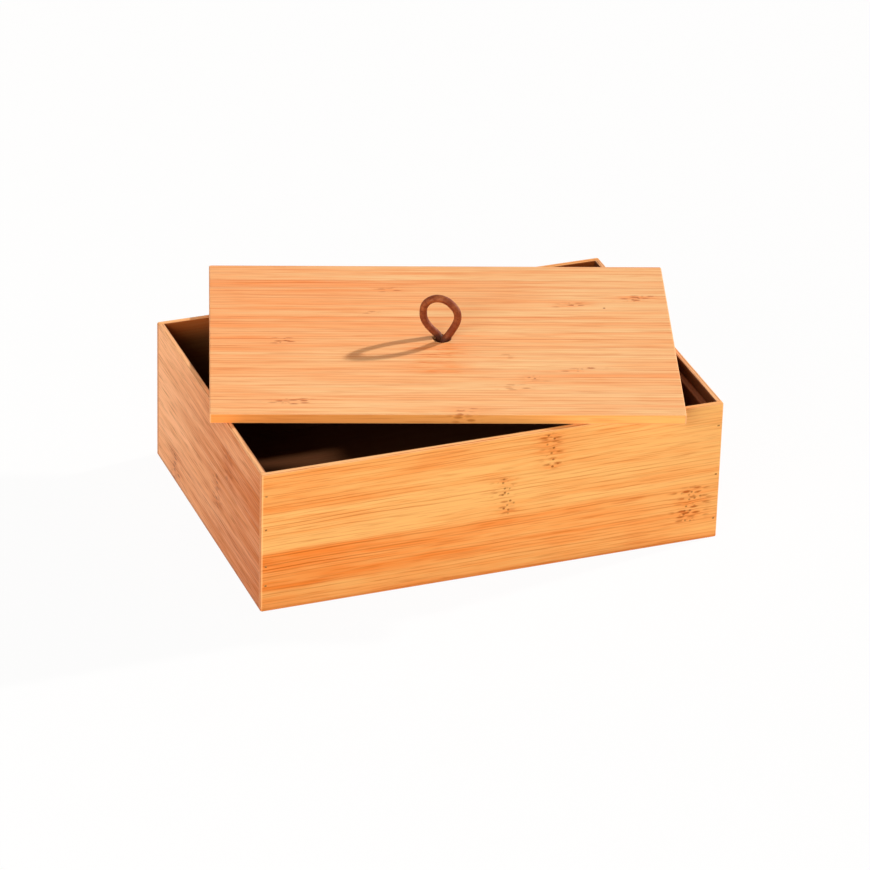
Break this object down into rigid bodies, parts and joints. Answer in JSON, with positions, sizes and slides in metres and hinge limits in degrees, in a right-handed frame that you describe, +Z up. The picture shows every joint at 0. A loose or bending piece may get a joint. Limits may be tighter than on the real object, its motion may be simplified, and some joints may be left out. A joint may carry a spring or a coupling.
{
  "type": "bamboo storage box",
  "caption": "Shallow rectangular bamboo box of thin pinned boards, with inner cleats and a loose board lid that lies askew on the rim and is lifted by a knotted leather loop.",
  "frame": {"origin": "middle of the underside, on the surface that the box stands on", "axes": "+X along the long side to the right, +Y from the front to the back, +Z up"},
  "size_m": [0.2532, 0.2088, 0.0996],
  "materials": {
    "wall_bamboo": "flat-pressed bamboo, satin clear coat",
    "lid_bamboo": "edge-glued bamboo strips, satin clear coat",
    "bottom_bamboo": "flat-pressed bamboo, plain sanded",
    "cleat_bamboo": "bamboo strip, plain sanded",
    "pull_leather": "round cord of oiled brown leather",
    "brad_steel": "dulled steel brads, stained brown"
  },
  "bodies": {
    "box": {"front_wall": "wall_bamboo", "back_wall": "wall_bamboo", "left_wall": "wall_bamboo", "right_wall": "wall_bamboo", "bottom_panel": "bottom_bamboo", "left_cleat": "cleat_bamboo", "right_cleat": "cleat_bamboo", "front_left_brads": "brad_steel", "front_right_brads": "brad_steel", "back_left_brads": "brad_steel", "back_right_brads": "brad_steel"},
    "lid": {"lid_panel": "lid_bamboo"},
    "pull": {"pull_loop": "pull_leather", "pull_knot": "pull_leather"}
  },
  "joints": [
    {"name": "lid_lift", "type": "slide", "parent": "box", "child": "lid", "axis": [0, 0, 1], "range_m": [0, 0.12]},
    {"name": "pull_turn", "type": "hinge", "parent": "lid", "child": "pull", "pos_m": [0.0071, 0.0129, 0.076], "axis": [0, 0, 1], "continuous": true}
  ]
}
